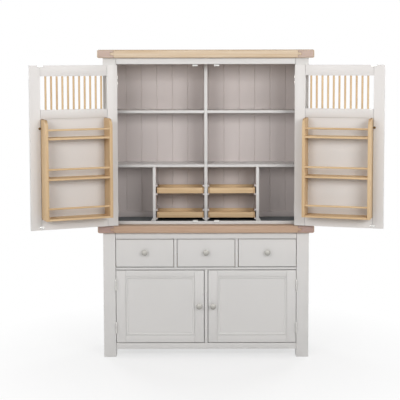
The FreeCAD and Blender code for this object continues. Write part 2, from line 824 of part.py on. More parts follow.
# Trays: the sides run through, so that their end grain shows beside the front
def tray(bottom):
    x0 = -TRAY_OUTER_X
    x1 = -TRAY_INNER_X
    y0 = INTERIOR_FRONT
    y1 = INTERIOR_FRONT + TRAY_DEPTH
    top = bottom + TRAY_HEIGHT
    floor_z = bottom + TRAY_FLOOR_RISE
    floor = box(
        x0 + TRAY_WALL / 2,
        x1 - TRAY_WALL / 2,
        y0 + TRAY_WALL / 2,
        y1 - TRAY_WALL / 2,
        floor_z,
        floor_z + TRAY_FLOOR_THICK,
    )
    walls = [
        box(x0, x0 + TRAY_WALL, y0, y1, bottom, top),
        box(x1 - TRAY_WALL, x1, y0, y1, bottom, top),
        box(x0 + TRAY_WALL, x1 - TRAY_WALL, y0, y0 + TRAY_WALL, bottom, top),
        box(x0 + TRAY_WALL, x1 - TRAY_WALL, y1 - TRAY_WALL, y1, bottom, top),
    ]
    return [clear_of(w, [floor]) for w in walls] + [floor]


for level, tray_z in zip(("lower", "upper"), TRAY_BOTTOMS):
    write("left_" + level + "_tray", tray(tray_z))
    write("right_" + level + "_tray", [mirrored(s) for s in tray(tray_z)])
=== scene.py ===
# %% [markdown]
# # A painted kitchen hutch
#
# A hutch is made of boards: flat, straight and square. Every board, door, drawer and tray is
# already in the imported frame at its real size, so this lesson is about what turns square
# solids into furniture: eased edges, mitred mouldings, turned knobs, oak whose grain runs the
# way each board was cut, a satin paint, and soft studio light.

# %% Load the frame
import json
import math

import bpy
from mathutils import Matrix, Vector

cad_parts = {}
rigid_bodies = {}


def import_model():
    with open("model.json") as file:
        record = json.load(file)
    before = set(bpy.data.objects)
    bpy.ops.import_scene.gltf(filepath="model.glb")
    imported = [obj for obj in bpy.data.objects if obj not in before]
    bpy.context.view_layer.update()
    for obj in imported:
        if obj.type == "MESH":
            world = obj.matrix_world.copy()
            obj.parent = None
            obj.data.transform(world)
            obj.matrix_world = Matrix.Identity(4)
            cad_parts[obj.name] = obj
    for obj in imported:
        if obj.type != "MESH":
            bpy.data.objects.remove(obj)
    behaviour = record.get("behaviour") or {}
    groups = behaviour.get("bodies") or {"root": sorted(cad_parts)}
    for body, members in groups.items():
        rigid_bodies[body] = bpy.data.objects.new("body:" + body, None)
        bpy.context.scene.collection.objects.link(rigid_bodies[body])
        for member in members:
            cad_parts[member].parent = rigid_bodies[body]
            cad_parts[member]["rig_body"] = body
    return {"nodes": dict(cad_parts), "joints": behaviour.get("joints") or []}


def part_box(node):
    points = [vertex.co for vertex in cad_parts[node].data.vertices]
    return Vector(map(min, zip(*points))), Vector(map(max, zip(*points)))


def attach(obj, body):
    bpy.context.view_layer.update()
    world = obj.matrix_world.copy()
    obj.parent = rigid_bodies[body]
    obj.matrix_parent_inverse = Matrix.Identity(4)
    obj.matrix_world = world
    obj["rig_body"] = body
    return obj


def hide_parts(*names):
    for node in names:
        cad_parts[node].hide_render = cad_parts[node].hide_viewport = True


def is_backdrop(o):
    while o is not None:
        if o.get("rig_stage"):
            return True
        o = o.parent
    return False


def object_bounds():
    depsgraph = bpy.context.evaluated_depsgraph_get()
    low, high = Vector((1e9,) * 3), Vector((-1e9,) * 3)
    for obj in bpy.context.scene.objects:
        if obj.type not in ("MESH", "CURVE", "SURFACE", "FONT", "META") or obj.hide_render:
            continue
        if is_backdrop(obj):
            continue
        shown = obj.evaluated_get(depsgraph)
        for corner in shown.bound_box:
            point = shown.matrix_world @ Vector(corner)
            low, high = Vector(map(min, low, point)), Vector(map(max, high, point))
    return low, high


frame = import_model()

MM = 0.001
cad_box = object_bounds()
nodes = frame["nodes"]

# %% [markdown]
# ## Two helpers for materials
#
# Colours are written as they look on a screen, in sRGB hex, but a shader works in linear
# light, so one function turns the first into the second. The other adds a node, sets its
# properties, and fills its sockets with values or with another node's output.


# %% Colour and node helpers
def linear(colour):
    """An sRGB hex colour as linear RGBA."""
    values = [int(colour[i : i + 2], 16) / 255 for i in (1, 3, 5)]
    curved = [v / 12.92 if v <= 0.04045 else ((v + 0.055) / 1.055) ** 2.4 for v in values]
    return (*curved, 1.0)


def add(tree, kind, sockets=None, **settings):
    """Adds a node with its settings; sockets takes values or other nodes' outputs."""
    node = tree.nodes.new("ShaderNode" + kind)
    for key, value in settings.items():
        setattr(node, key, value)
    for key, value in (sockets or {}).items():
        if isinstance(value, bpy.types.NodeSocket):
            tree.links.new(value, node.inputs[key])
        else:
            node.inputs[key].default_value = value
    return node


def new_material(name):
    """An empty material: its node tree and its shader."""
    material = bpy.data.materials.new(name)
    material.use_nodes = True
    tree = material.node_tree
    return material, tree, tree.nodes["Principled BSDF"]


# %% [markdown]
# ## Satin furniture paint
#
# The case is sprayed with a warm grey satin acrylic. Sprayed paint isn't glass smooth: it
# keeps an orange peel a few millimetres across, and large boards differ a little in tone.
# Both come from noise on Object coordinates, one too low to see as a pattern and one that
# only the bump reads. Inside the cupboard the same paint is given a little warmer and darker
# tone, which is painted shade, and on the inner faces of the upper doors a warmer and lighter
# one, which is painted light, so each has a tone of its own.

# %% Paint
PEEL_SIZE = 2.5 * MM
PEEL_DEPTH = 0.05 * MM
CLOUD_SIZE = 350 * MM


def satin_paint(name, colour, shade):
    """Sprayed satin acrylic that drifts between a colour and a slightly darker shade."""
    material, tree, shader = new_material(name)
    place = add(tree, "TexCoord").outputs["Object"]
    cloud = add(tree, "TexNoise", {"Vector": place, "Scale": 1 / CLOUD_SIZE, "Detail": 3.0})
    tone = add(
        tree,
        "Mix",
        {"Factor": cloud.outputs["Fac"], "A": linear(colour), "B": linear(shade)},
        data_type="RGBA",
    )
    tree.links.new(tone.outputs["Result"], shader.inputs["Base Color"])
    peel = add(tree, "TexNoise", {"Vector": place, "Scale": 1 / PEEL_SIZE, "Detail": 2.0})
    bump = add(
        tree,
        "Bump",
        {"Height": peel.outputs["Fac"], "Strength": 0.25, "Distance": PEEL_DEPTH},
    )
    tree.links.new(bump.outputs["Normal"], shader.inputs["Normal"])
    shader.inputs["Roughness"].default_value = 0.42
    shader.inputs["Specular IOR Level"].default_value = 0.4
    return material


grey_paint = satin_paint("satin_acrylic_paint", "#D6D4D2", "#D0CECC")
# A copy of the paint, a little darker and warmer: painted shade for the inside of the cupboard.
cupboard_shade_paint = satin_paint("satin_acrylic_paint_painted_shade", "#D1C8C5", "#CAC1BE")
# A copy of the paint, a little lighter and warmer: painted light for the doors' inner faces.
door_light_paint = satin_paint("satin_acrylic_paint_door_painted_light", "#DCD8D5", "#D6D2CF")
print("paint in", len(bpy.data.materials), "tones")

# %% [markdown]
# ## Oak
#
# Oak grain is long in one direction and fine across it, so the same noise is read through a
# Mapping node that stretches it along the board. Three scales are laid over each other: broad
# streaks where the saw met the growth rings at a low angle, the rings themselves, and the
# open pores, short dark dashes that also dent the surface. Where a face looks along the
# grain, it is end grain: browner, a little pink, and without the long streaks. The node
# normal tells which, because on Object coordinates it turns with the board.

# %% Oak
STREAK_WIDTH = 38 * MM
STREAK_LENGTH = 900 * MM
RING_WIDTH = 6 * MM
RING_LENGTH = 260 * MM
PORE_WIDTH = 0.9 * MM
PORE_LENGTH = 14 * MM
PORE_DEPTH = 0.08 * MM
ALONG_X = (0.0, 0.0, 0.0)
ALONG_Y = (0.0, 0.0, -math.pi / 2)
ALONG_Z = (0.0, math.pi / 2, 0.0)


def oak(name, turn, light, dark, end):
    """Lacquered oak. The turn brings the board's grain onto the pattern's X axis."""
    material, tree, shader = new_material(name)
    source = add(tree, "TexCoord")
    turned_place = add(
        tree, "Mapping", {"Vector": source.outputs["Object"], "Rotation": turn}
    ).outputs["Vector"]

    def grain(width, length, detail):
        stretched = add(
            tree, "Mapping", {"Vector": turned_place, "Scale": (width / length, 1.0, 1.0)}
        )
        return add(
            tree,
            "TexNoise",
            {"Vector": stretched.outputs["Vector"], "Scale": 1 / width, "Detail": detail},
        ).outputs["Fac"]

    streaks = grain(STREAK_WIDTH, STREAK_LENGTH, 3.0)
    rings = grain(RING_WIDTH, RING_LENGTH, 2.0)
    pores = grain(PORE_WIDTH, PORE_LENGTH, 1.0)

    figure = add(tree, "Mix", {"Factor": 0.42, "A": streaks, "B": rings}, data_type="FLOAT")
    ramp = add(tree, "ValToRGB", {"Fac": figure.outputs["Result"]})
    ramp.color_ramp.elements[0].position = 0.34
    ramp.color_ramp.elements[0].color = linear(dark)
    ramp.color_ramp.elements[1].position = 0.62
    ramp.color_ramp.elements[1].color = linear(light)

    pore_edge = add(
        tree,
        "MapRange",
        {"Value": pores, "From Min": 0.60, "From Max": 0.72, "To Min": 0.0, "To Max": 0.32},
    )
    face = add(
        tree,
        "Mix",
        {"Factor": pore_edge.outputs["Result"], "A": ramp.outputs["Color"], "B": linear(end)},
        data_type="RGBA",
    )
    normal = add(tree, "Mapping", {"Vector": source.outputs["Normal"], "Rotation": turn})
    along = add(tree, "SeparateXYZ", {"Vector": normal.outputs["Vector"]}).outputs["X"]
    end_on = add(tree, "Math", {0: along}, operation="ABSOLUTE")
    end_face = add(
        tree, "MapRange", {"Value": end_on.outputs["Value"], "From Min": 0.6, "From Max": 0.9}
    )
    end_rings = add(
        tree,
        "Mix",
        {"Factor": rings, "A": linear(dark), "B": linear(end)},
        data_type="RGBA",
    )
    colour = add(
        tree,
        "Mix",
        {
            "Factor": end_face.outputs["Result"],
            "A": face.outputs["Result"],
            "B": end_rings.outputs["Result"],
        },
        data_type="RGBA",
    )
    tree.links.new(colour.outputs["Result"], shader.inputs["Base Color"])
    bump = add(
        tree,
        "Bump",
        {"Height": pores, "Strength": 0.3, "Distance": PORE_DEPTH},
        invert=True,
    )
    tree.links.new(bump.outputs["Normal"], shader.inputs["Normal"])
    shader.inputs["Roughness"].default_value = 0.6
    shader.inputs["Specular IOR Level"].default_value = 0.35
    return material


CROWN_TONES = ("#D3C0A7", "#C2A888", "#B3A1A6")
WORKTOP_TONES = ("#C2A790", "#AE8E76", "#A59093")
RACK_TONES = ("#D8BC95", "#C5A47C", "#BE9C76")
crown_oak = oak("lacquered_oak_crown_board", ALONG_X, *CROWN_TONES)
crown_end_oak = oak("lacquered_oak_crown_end", ALONG_Y, *CROWN_TONES)
worktop_oak = oak("lacquered_oak_worktop_board", ALONG_X, *WORKTOP_TONES)
worktop_end_oak = oak("lacquered_oak_worktop_end", ALONG_Y, *WORKTOP_TONES)
tray_oak = oak("lacquered_oak_tray_front", ALONG_X, *RACK_TONES)
tray_side_oak = oak("lacquered_oak_tray_side", ALONG_Y, *RACK_TONES)
upright_oak = oak("lacquered_oak_upright", ALONG_Z, *RACK_TONES)
print(len(crown_oak.node_tree.nodes), "nodes in each oak")

# %% [markdown]
# ## Slate, metals and white plastic
#
# The floor of the upper cupboard is a dark slate-coloured sheet with a matt, slightly cloudy
# face. The knobs are cast pewter, dull and a little uneven. Hinges and strike plates are
# nickel-plated steel, the screws behind the knobs are old brass, and the magnetic catches are
# white ABS.


# %% Slate, metals and plastic
def mottled(name, colour, shade, size, roughness, metallic=0.0, dent=0.05 * MM):
    """A plain surface with a soft mottle in its colour and a fine dent in its face."""
    material, tree, shader = new_material(name)
    place = add(tree, "TexCoord").outputs["Object"]
    mottle = add(tree, "TexNoise", {"Vector": place, "Scale": 1 / size, "Detail": 4.0})
    tone = add(
        tree,
        "Mix",
        {"Factor": mottle.outputs["Fac"], "A": linear(colour), "B": linear(shade)},
        data_type="RGBA",
    )
    tree.links.new(tone.outputs["Result"], shader.inputs["Base Color"])
    bump = add(
        tree, "Bump", {"Height": mottle.outputs["Fac"], "Strength": 0.4, "Distance": dent}
    )
    tree.links.new(bump.outputs["Normal"], shader.inputs["Normal"])
    shader.inputs["Roughness"].default_value = roughness
    shader.inputs["Metallic"].default_value = metallic
    return material


slate = mottled("honed_slate_sheet", "#5C6366", "#4D5356", 40 * MM, 0.5)
pewter = mottled("cast_pewter", "#B1AFAA", "#989691", 3 * MM, 0.58, metallic=1.0)
nickel = mottled("nickel_plated_steel", "#DEDDDA", "#CFCECA", 1.5 * MM, 0.25, metallic=1.0)
old_brass = mottled("old_brass", "#8A6F4A", "#5E4A31", 2 * MM, 0.4, metallic=1.0)
white_abs = mottled("white_abs_plastic", "#F4F4F2", "#ECECEA", 2 * MM, 0.35, dent=0.02 * MM)
print(len(bpy.data.materials), "materials")

# %% [markdown]
# ## Eased edges
#
# No board leaves a workshop with a sharp edge. Each one is sanded to a small round that
# catches a thin line of light, and where two boards meet, the two rounds make the fine
# groove that shows the joint. The frame's boards are square, so each node is copied, its
# loose triangles are merged board by board, and a Bevel modifier rounds what is left.
#
# Merging by distance alone would weld boards that touch. A board is a closed shell, though:
# every edge is used once in each direction. So the triangles are taken in order, and a
# board is complete each time no edge is left without its twin. Each board gets a material
# slot of its own, and Separate by Material then takes the node apart into its boards. A
# last step draws every face in by half of the joint's groove.


# %% Select, split into boards, and ease
JOINT_GAP = 0.8 * MM


def select_only(piece):
    """Makes a piece the only selected one, and the active one."""
    bpy.ops.object.select_all(action="DESELECT")
    piece.select_set(True)
    bpy.context.view_layer.objects.active = piece


def board_numbers(mesh):
    """For each triangle of a CAD mesh, the number of the board that it belongs to."""
    numbers = []
    board = 0
    open_edges = set()
    for polygon in mesh.polygons:
        numbers.append(board)
        corners = [tuple(round(c, 6) for c in mesh.vertices[v].co) for v in polygon.vertices]
        for a, b in zip(corners, corners[1:] + corners[:1]):
            if (b, a) in open_edges:
                open_edges.remove((b, a))
            else:
                open_edges.add((a, b))
        if not open_edges:
            board += 1
    return numbers


def body_of(node):
    """The body that carries a CAD node."""
    return nodes[node]["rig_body"]


def eased(node, width, *materials, slot="paint", gap=JOINT_GAP):
    """A copy of a node with rounded edges, which stands for it. Each board takes the next
    material, and the last one serves all that are left."""
    mesh = nodes[node].data.copy()
    numbers = board_numbers(mesh)
    mesh.materials.clear()
    for board in range(numbers[-1] + 1):
        mesh.materials.append(materials[min(board, len(materials) - 1)])
    mesh.polygons.foreach_set("material_index", numbers)
    piece = bpy.data.objects.new("eased_" + node, mesh)
    bpy.context.collection.objects.link(piece)
    select_only(piece)
    bpy.ops.mesh.customdata_custom_splitnormals_clear()
    bpy.ops.object.mode_set(mode="EDIT")
    bpy.ops.mesh.select_all(action="SELECT")
    if len(mesh.materials) > 1:
        bpy.ops.mesh.separate(type="MATERIAL")
    bpy.ops.object.mode_set(mode="OBJECT")
    bpy.ops.object.mode_set(mode="EDIT")
    bpy.ops.mesh.select_all(action="SELECT")
    bpy.ops.mesh.remove_doubles(threshold=0.01 * MM)
    bpy.ops.mesh.dissolve_limited(angle_limit=math.radians(1))
    bpy.ops.mesh.select_all(action="SELECT")
    bpy.ops.transform.shrink_fatten(value=-gap / 2, use_even_offset=True)
    bpy.ops.object.mode_set(mode="OBJECT")
    if len(bpy.context.selected_objects) > 1:
        bpy.ops.object.join()
    round_edges(piece, width)
    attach(piece, body_of(node))
    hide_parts(node)
    return piece


def round_edges(piece, width, segments=2):
    """Rounds every sharp edge and smooths the shading over the round."""
    select_only(piece)
    bevel = piece.modifiers.new("rounded", "BEVEL")
    bevel.width = width
    bevel.segments = segments
    bevel.limit_method = "ANGLE"
    bevel.angle_limit = math.radians(30)
    bpy.ops.object.modifier_apply(modifier=bevel.name)
    bpy.ops.object.shade_smooth_by_angle(angle=math.radians(35))


# %% [markdown]
# ## The boards get their finish
#
# Painted boards are eased by about a millimetre. Where the rails of the case butt against a
# post, and in the frames of the upper doors, the groove of the joint is a little wider, and
# in the base doors it is hardly there, because paint has filled it. The oak boards of the
# tops already have their larger chamfers in the solid, so a smaller round there only softens
# its corners. The breadboard ends run across the long boards, so their fronts show end grain.
# In a tray the two sides run through and show theirs beside the front.

# %% Painted boards, oak tops and trays
PAINT_ROUND = 0.9 * MM
BUTT_GAP = 2.4 * MM
FRAME_GAP = 1.4 * MM
FINE_ROUND = 0.6 * MM
FINE_GAP = 0.4 * MM
OAK_ROUND = 2.4 * MM
THIN_ROUND = 0.8 * MM

for node in ("base_legs", "base_uprights", "hutch_posts", "hutch_shelves"):
    eased(node, PAINT_ROUND, grey_paint)
for node in ("left_base_door_frame", "right_base_door_frame"):
    eased(node, FINE_ROUND, grey_paint, gap=FINE_GAP)
door_frames = {
    side: eased(side + "_upper_door_frame", PAINT_ROUND, grey_paint, gap=FRAME_GAP)
    for side in ("left", "right")
}
for node in ("base_face_rails", "hutch_face_rails"):
    eased(node, PAINT_ROUND, grey_paint, gap=BUTT_GAP)
# The skirting takes the darker inside tone all over, which is painted shade.
eased("hutch_back_skirting", PAINT_ROUND, cupboard_shade_paint)
dividers = eased("hutch_dividers", PAINT_ROUND, grey_paint)
side_panels = eased("case_side_panels", PAINT_ROUND, grey_paint)

eased("worktop_board", OAK_ROUND, worktop_oak, slot="oak")
eased("hutch_top_board", OAK_ROUND, crown_oak, slot="oak")
eased(
    "breadboard_ends", OAK_ROUND,
    worktop_end_oak, worktop_end_oak, crown_end_oak, crown_end_oak, slot="oak_ends",
)

for side in ("left", "right"):
    for level in ("lower", "upper"):
        eased(
            f"{side}_{level}_tray", THIN_ROUND,
            tray_side_oak, tray_side_oak, tray_oak, tray_oak, tray_side_oak, slot="oak_pale",
        )
for side in ("left", "middle", "right"):
    eased(
        f"{side}_drawer_box", THIN_ROUND,
        tray_side_oak, tray_side_oak, tray_oak, tray_side_oak, slot="drawer_wood",
    )
eased_pieces = [piece for piece in bpy.data.objects if piece.name.startswith("eased_")]
print(len(eased_pieces), "nodes with eased boards")

# %% [markdown]
# ## Nodes that only need a finish
#
# Boards that are grooved already, thin panels, and round bars are right as they are. They
# keep their mesh and only get a material.

# %% Finish the plain nodes
def finish(piece, material):
    """Makes a material the only one of a piece."""
    piece.data.materials.clear()
    piece.data.materials.append(material)


PLAIN_PAINT = [
    "base_back_panel", "base_floor_board", "base_shelves", "left_upper_door_panel",
    "right_upper_door_panel", "left_base_door_panel", "right_base_door_panel",
]
for node in PLAIN_PAINT:
    finish(nodes[node], grey_paint)
# The tray runners take the darker inside tone, which is painted shade.
finish(nodes["tray_runners"], cupboard_shade_paint)
finish(nodes["slate_floor"], slate)
finish(nodes["drawer_runners"], tray_side_oak)
finish(nodes["hinge_post_leaves"], nickel)
print(len(PLAIN_PAINT), "nodes only painted")

# %% [markdown]
# ## Painted shade and light on one board
#
# The partitions, the side panels and the back boards look into the cupboard with some of
# their faces only. A mesh may have several materials, and each face says which one it takes,
# so those faces are found by their normal and get the darker inside tone, which is painted
# shade. The rest stay grey. The inner faces of the upper doors are found in the same way once
# it is known how far they swing, and get the lighter tone, which is painted light.

# %% Inside faces
WORKTOP_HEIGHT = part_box("worktop_board")[1].z


def paint_shade_and_light(piece, material, test):
    """Gives a second tone to the faces that pass a test on their centre and normal: painted
    shade inside the cupboard, painted light on the doors' inner faces.
    """
    piece.data.materials.append(material)
    inside = len(piece.data.materials) - 1
    for polygon in piece.data.polygons:
        if test(polygon.center, polygon.normal):
            polygon.material_index = inside
    found = sum(polygon.material_index == inside for polygon in piece.data.polygons)
    print(piece.name, "has", found, "inside faces")


back_boards = nodes["hutch_back_boards"]
finish(back_boards, grey_paint)
# Faces that look into the cupboard get the darker inside tone, which is painted shade.
paint_shade_and_light(back_boards, cupboard_shade_paint, lambda centre, normal: normal.y < 0.9)
paint_shade_and_light(dividers, cupboard_shade_paint, lambda centre, normal: abs(normal.x) > 0.9)
paint_shade_and_light(
    side_panels, cupboard_shade_paint,
    lambda centre, normal: centre.z > WORKTOP_HEIGHT and centre.x * normal.x < 0,
)

# %% [markdown]
# ## The open doors
#
# Both upper doors stand open at rest. Their pieces are easiest to model with the door closed
# and square to the axes, and then swung open about the hinge. The joint knows the place of
# the hinge, and its lower limit is the closed door, so the swing comes from the record.


# %% Swing of each upper door
def joint(name):
    """A joint of the frame by its name."""
    return next(j for j in frame["joints"] if j["name"] == name)


def swing_of(side):
    """Turns a piece of a closed upper door to where the door stands at rest."""
    hinge = joint(side + "_upper_door_hinge")
    centre = Vector(hinge["pos_m"])
    angle = -math.radians(hinge["range_deg"][0])
    turn = Matrix.Rotation(angle, 4, Vector(hinge["axis"]))
    return Matrix.Translation(centre) @ turn @ Matrix.Translation(-centre)


def closed_box(node, swing):
    """Lowest and highest corner of a door's node with the door closed."""
    back = swing.inverted()
    places = [back @ v.co for v in nodes[node].data.vertices]
    lowest = Vector(min(p[i] for p in places) for i in range(3))
    highest = Vector(max(p[i] for p in places) for i in range(3))
    return lowest, highest


SWINGS = {side: swing_of(side) for side in ("left", "right")}
STILL = Matrix.Identity(4)
for side, swing in SWINGS.items():
    inwards = swing.to_3x3() @ Vector((0, 1, 0))
    for piece in (door_frames[side], nodes[side + "_upper_door_panel"]):
        # The inner faces of the upper doors get the lighter tone, which is painted light.
        paint_shade_and_light(piece, door_light_paint, lambda centre, normal: normal.dot(inwards) > 0.5)
    angle = swing.to_euler().z
    along_door = oak(f"lacquered_oak_{side}_rack", (0.0, 0.0, -angle), *RACK_TONES)
    eased(f"{side}_upper_door_rack_sides", THIN_ROUND, upright_oak, slot="oak_pale")
    eased(f"{side}_upper_door_rack_shelves", THIN_ROUND, along_door, slot="oak_pale")
    finish(nodes[f"{side}_upper_door_rack_rails"], along_door)
    finish(nodes[f"{side}_upper_door_spindles"], upright_oak)
    print(side, "door stands at", round(math.degrees(angle)), "degrees")

# %% [markdown]
# ## Mitred mouldings
#
# A thin moulding covers the step between a door's frame and its panel. Its profile starts
# with a quirk, the narrow groove that draws a dark line along the frame, then comes a small
# bead and a slope down to the panel, and the four lengths meet at mitres. The Inset operator
# makes exactly that: each inset of a rectangle keeps its corners on the diagonals, so a row
# of insets with a depth each is a mitred profile.

# %% Mouldings
PANEL_TONGUE = 8 * MM
FRAME_TO_QUIRK = 4.0 * MM
PROFILE = ((1.8, 0.0), (0.3, 2.2), (0.7, 0.5), (1.6, 0.1), (1.4, -0.4), (3.0, -1.2), (3.6, -2.2))
FOOT = 15.0
FOOT_LIFT = 0.3 * MM


def faces_where(mesh, test):
    """Selects the faces that pass a test on their centre and normal."""
    bpy.ops.object.mode_set(mode="EDIT")
    bpy.ops.mesh.select_mode(type="FACE")
    bpy.ops.mesh.select_all(action="DESELECT")
    bpy.ops.object.mode_set(mode="OBJECT")
    for polygon in mesh.polygons:
        polygon.select = test(polygon.center, polygon.normal)
    bpy.ops.object.mode_set(mode="EDIT")


def moulding(door, swing):
    """A mitred ring on the front of a door, in the step between its frame and its panel."""
    panel_low, panel_high = closed_box(door + "_panel", swing)
    frame_low = closed_box(door + "_frame", swing)[0]
    tongue = Vector((PANEL_TONGUE, 0, PANEL_TONGUE))
    low = panel_low + tongue
    high = panel_high - tongue
    size = high - low
    front = frame_low.y + FRAME_TO_QUIRK
    drop = panel_low.y - front
    bpy.ops.object.select_all(action="DESELECT")
    bpy.ops.mesh.primitive_cube_add(
        size=1, location=((low.x + high.x) / 2, front + drop / 2, (low.z + high.z) / 2)
    )
    piece = bpy.context.object
    piece.name = door + "_mitred_moulding"
    bpy.ops.transform.resize(value=(size.x, drop, size.z))
    bpy.ops.object.transform_apply(location=True, rotation=True, scale=True)
    faces_where(piece.data, lambda centre, normal: normal.y < -0.9)
    run = 0.0
    fall = 0.0
    for width, depth in PROFILE:
        bpy.ops.mesh.inset(thickness=width * MM, depth=depth * MM)
        run += width
        fall += depth
    bpy.ops.mesh.inset(thickness=(FOOT - run) * MM, depth=-(drop + fall * MM) + FOOT_LIFT)
    bpy.ops.mesh.delete(type="FACE")
    faces_where(piece.data, lambda centre, normal: normal.y > 0.9)
    bpy.ops.mesh.inset(thickness=FOOT * MM, depth=0)
    bpy.ops.mesh.delete(type="FACE")
    bpy.ops.mesh.select_all(action="DESELECT")
    bpy.ops.mesh.select_mode(type="EDGE")
    bpy.ops.mesh.select_non_manifold()
    bpy.ops.mesh.bridge_edge_loops()
    bpy.ops.mesh.select_mode(type="FACE")
    bpy.ops.object.mode_set(mode="OBJECT")
    bpy.ops.object.shade_smooth_by_angle(angle=math.radians(40))
    piece.data.transform(swing)
    finish(piece, grey_paint)
    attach(piece, body_of(door + "_moulding"))
    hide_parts(door + "_moulding")
    return piece


for side in ("left", "right"):
    ring = moulding(f"{side}_upper_door", SWINGS[side])
    moulding(f"{side}_base_door", STILL)
print("moulding with", len(ring.data.polygons), "faces")

# %% [markdown]
# ## Turned pieces
#
# A lathe makes a knob from a row of rings. So does this function: it starts from a filled
# circle, and each step extrudes it a little further out and scales it to the next radius.
# The list gives, in millimetres, how far each ring stands from the face and its radius. The
# same function makes the heads of the screws.


# %% A lathe of extrusions
def turned(name, rings, sides=40):
    """A turned piece that grows from the origin towards -Y."""
    bpy.ops.object.select_all(action="DESELECT")
    reach, radius = rings[0]
    bpy.ops.mesh.primitive_circle_add(
        vertices=sides,
        radius=radius * MM,
        fill_type="NGON",
        location=(0, -reach * MM, 0),
        rotation=(math.pi / 2, 0, 0),
    )
    piece = bpy.context.object
    piece.name = name
    bpy.ops.object.transform_apply(location=True, rotation=True, scale=True)
    bpy.ops.object.mode_set(mode="EDIT")
    bpy.ops.mesh.select_all(action="SELECT")
    for next_reach, next_radius in rings[1:]:
        bpy.ops.mesh.extrude_region_move(
            TRANSFORM_OT_translate={"value": (0, -(next_reach - reach) * MM, 0)}
        )
        ratio = next_radius / radius
        bpy.ops.transform.resize(
            value=(ratio, 1, ratio), center_override=(0, -next_reach * MM, 0)
        )
        reach, radius = next_reach, next_radius
    bpy.ops.mesh.select_all(action="SELECT")
    bpy.ops.mesh.normals_make_consistent(inside=False)
    bpy.ops.object.mode_set(mode="OBJECT")
    bpy.ops.object.shade_smooth_by_angle(angle=math.radians(35))
    return piece


KNOB_RINGS = (
    (0.0, 10.0), (1.4, 10.0), (2.2, 9.0), (3.0, 7.0), (5.5, 5.9), (9.0, 5.6), (12.5, 6.4),
    (15.5, 9.0), (17.6, 13.0), (19.2, 16.4), (20.6, 17.9), (22.2, 18.4), (23.8, 18.0),
    (24.8, 16.8), (25.0, 15.8), (25.9, 15.2), (27.4, 11.8), (28.5, 7.4), (29.0, 2.5),
)
SCREW_RINGS = ((0.0, 7.4), (0.8, 7.5), (2.2, 7.0), (3.4, 5.6), (3.9, 3.6))
PLATE_SCREW_RINGS = ((0.0, 3.4), (0.25, 3.3), (0.5, 2.6))


# %% [markdown]
# A screw head is only a screw head with its slot. Two bisecting cuts mark it across the
# top, and extruding the faces between them inwards sinks it.


# %% Slotted heads
def slotted(name, rings, slot_width, slot_depth):
    """A turned head with a slot across its top."""
    piece = turned(name, rings, sides=24)
    select_only(piece)
    bpy.ops.object.mode_set(mode="EDIT")
    for edge in (-slot_width / 2, slot_width / 2):
        bpy.ops.mesh.select_all(action="SELECT")
        bpy.ops.mesh.bisect(plane_co=(0, 0, edge), plane_no=(0, 0, 1))
    top = -rings[-2][0] * MM
    faces_where(
        piece.data,
        lambda centre, normal: centre.y < top and abs(centre.z) < slot_width / 2,
    )
    bpy.ops.mesh.extrude_region_move(TRANSFORM_OT_translate={"value": (0, slot_depth, 0)})
    bpy.ops.object.mode_set(mode="OBJECT")
    return piece


knob_pattern = turned("knob_pattern", KNOB_RINGS)
screw_pattern = slotted("screw_pattern", SCREW_RINGS, 1.4 * MM, 1.2 * MM)
plate_screw_pattern = slotted("plate_screw_pattern", PLATE_SCREW_RINGS, 0.8 * MM, 0.3 * MM)


def placed(pattern, name, place, swing, body, material, inwards=False):
    """A copy of a turned pattern with its own mesh, set on a face and then swung."""
    piece = bpy.data.objects.new(name, pattern.data.copy())
    bpy.context.collection.objects.link(piece)
    if inwards:
        piece.data.transform(Matrix.Rotation(math.pi, 4, "Z"))
    piece.data.transform(swing @ Matrix.Translation(place))
    finish(piece, material)
    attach(piece, body)
    return piece


# %% [markdown]
# ## Drawer fronts and their knobs
#
# A drawer front is one plain board with rounded edges and a knob in its middle. In the frame
# both share a node, so a new board and a turned knob stand for it together.

# %% Drawer fronts
FRONT_SETBACK = 2 * MM
FRONT_THICK = 20 * MM
CASE_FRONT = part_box("base_legs")[0].y
DRAWER_KNOB_HEIGHT = 656 * MM


def board(name, low, high, width, material, slot):
    """A board between two corners with rounded edges."""
    bpy.ops.object.select_all(action="DESELECT")
    bpy.ops.mesh.primitive_cube_add(size=1, location=(low + high) / 2)
    piece = bpy.context.object
    piece.name = name
    bpy.ops.transform.resize(value=high - low)
    bpy.ops.object.transform_apply(location=True, rotation=True, scale=True)
    round_edges(piece, width, segments=3)
    finish(piece, material)
    return piece


for side in ("left", "middle", "right"):
    node = side + "_drawer_front"
    low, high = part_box(node)
    low.y = CASE_FRONT + FRONT_SETBACK
    front = board(side + "_drawer_front_board", low, high, 1.5 * MM, grey_paint, "paint")
    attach(front, side + "_drawer")
    knob = placed(
        knob_pattern,
        side + "_drawer_knob",
        Vector(((low.x + high.x) / 2, low.y, DRAWER_KNOB_HEIGHT)),
        STILL,
        side + "_drawer",
        pewter,
    )
    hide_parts(node)
    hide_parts(node)
print("knob with", len(knob.data.polygons), "faces")

# %% [markdown]
# ## Door fittings
#
# Each door carries its knob, the leaves of its two hinges, and on the upper doors two strike
# plates for the catches, each held by two small screws. Behind each upper knob, on the inside
# of the stile, shows the head of its screw, old brass and slotted. A leaf is a thin plate in
# the gap beside the door with half of the knuckle on it.

